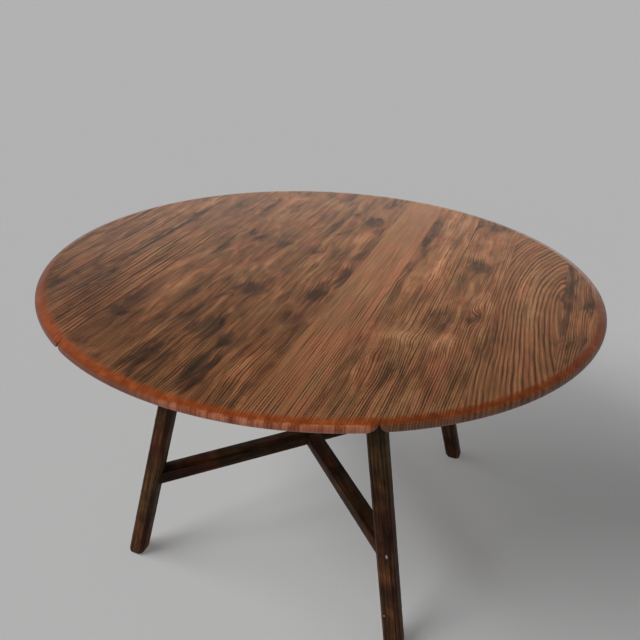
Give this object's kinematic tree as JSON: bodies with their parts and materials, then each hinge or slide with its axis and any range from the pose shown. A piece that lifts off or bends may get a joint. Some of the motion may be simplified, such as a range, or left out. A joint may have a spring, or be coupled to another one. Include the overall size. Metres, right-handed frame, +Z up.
{
  "type": "drop-leaf dining table",
  "caption": "Oval wooden dining table with hinged drop leaves, a bevelled rim, splayed square legs and crossed stretchers; slotted metal stays under the top hold each leaf level or let it hang.",
  "frame": {"origin": "on the floor, under the middle of the top", "axes": "+X across the seams towards the right leaf, +Y along the seams towards the back, +Z up"},
  "size_m": [1.24, 1.128, 0.7],
  "materials": {
    "top_wood": "satin",
    "frame_wood": "satin",
    "brass": "satin",
    "steel": "brushed"
  },
  "bodies": {
    "frame": {"apron_back": "frame_wood", "apron_front": "frame_wood", "apron_left": "frame_wood", "apron_right": "frame_wood", "centre_board_1": "top_wood", "centre_board_2": "top_wood", "centre_board_3": "top_wood", "centre_board_4": "top_wood", "centre_board_5": "top_wood", "corner_block_left_back": "frame_wood", "corner_block_left_front": "frame_wood", "corner_block_right_back": "frame_wood", "corner_block_right_front": "frame_wood", "hinge_left_back_fixed": "brass", "hinge_left_back_pin": "steel", "hinge_left_front_fixed": "brass", "hinge_left_front_pin": "steel", "hinge_right_back_fixed": "brass", "hinge_right_back_pin": "steel", "hinge_right_front_fixed": "brass", "hinge_right_front_pin": "steel", "leg_left_back": "frame_wood", "leg_left_front": "frame_wood", "leg_right_back": "frame_wood", "leg_right_front": "frame_wood", "stay_left_back_nut": "brass", "stay_left_back_stud": "steel", "stay_left_front_nut": "brass", "stay_left_front_stud": "steel", "stay_right_back_nut": "brass", "stay_right_back_stud": "steel", "stay_right_front_nut": "brass", "stay_right_front_stud": "steel", "stretcher_lower": "frame_wood", "stretcher_upper": "frame_wood"},
    "leaf_right": {"hinge_right_back_moving": "brass", "hinge_right_front_moving": "brass", "leaf_right_inner": "top_wood", "leaf_right_middle": "top_wood", "leaf_right_outer": "top_wood", "stay_right_back_bracket": "steel", "stay_right_back_rivet": "brass", "stay_right_front_bracket": "steel", "stay_right_front_rivet": "brass"},
    "leaf_left": {"hinge_left_back_moving": "brass", "hinge_left_front_moving": "brass", "leaf_left_inner": "top_wood", "leaf_left_middle": "top_wood", "leaf_left_outer": "top_wood", "stay_left_back_bracket": "steel", "stay_left_back_rivet": "brass", "stay_left_front_bracket": "steel", "stay_left_front_rivet": "brass"},
    "stay_left_back": {"stay_left_back_bar": "steel"},
    "stay_left_front": {"stay_left_front_bar": "steel"},
    "stay_right_back": {"stay_right_back_bar": "steel"},
    "stay_right_front": {"stay_right_front_bar": "steel"}
  },
  "joints": [
    {"name": "leaf_right_drop", "type": "hinge", "parent": "frame", "child": "leaf_right", "pos_m": [0.304, 0, 0.6825], "axis": [0, 1, 0], "range_deg": [0, 90]},
    {"name": "leaf_left_drop", "type": "hinge", "parent": "frame", "child": "leaf_left", "pos_m": [-0.304, 0, 0.6825], "axis": [0, -1, 0], "range_deg": [0, 90]},
    {"name": "stay_right_front_swing", "type": "hinge", "parent": "leaf_right", "child": "stay_right_front", "pos_m": [0.46462, -0.20025, 0.671], "axis": [0, 1, 0], "range_deg": [-45, 0]},
    {"name": "stay_right_back_swing", "type": "hinge", "parent": "leaf_right", "child": "stay_right_back", "pos_m": [0.46462, 0.20025, 0.671], "axis": [0, 1, 0], "range_deg": [-45, 0]},
    {"name": "stay_left_front_swing", "type": "hinge", "parent": "leaf_left", "child": "stay_left_front", "pos_m": [-0.46462, -0.20025, 0.671], "axis": [0, -1, 0], "range_deg": [-45, 0]},
    {"name": "stay_left_back_swing", "type": "hinge", "parent": "leaf_left", "child": "stay_left_back", "pos_m": [-0.46462, 0.20025, 0.671], "axis": [0, -1, 0], "range_deg": [-45, 0]}
  ],
  "couplings": [
    {"joint": "stay_right_front_swing", "follows": "leaf_right_drop", "ratio": -0.5},
    {"joint": "stay_right_back_swing", "follows": "leaf_right_drop", "ratio": -0.5},
    {"joint": "stay_left_front_swing", "follows": "leaf_left_drop", "ratio": -0.5},
    {"joint": "stay_left_back_swing", "follows": "leaf_left_drop", "ratio": -0.5}
  ]
}
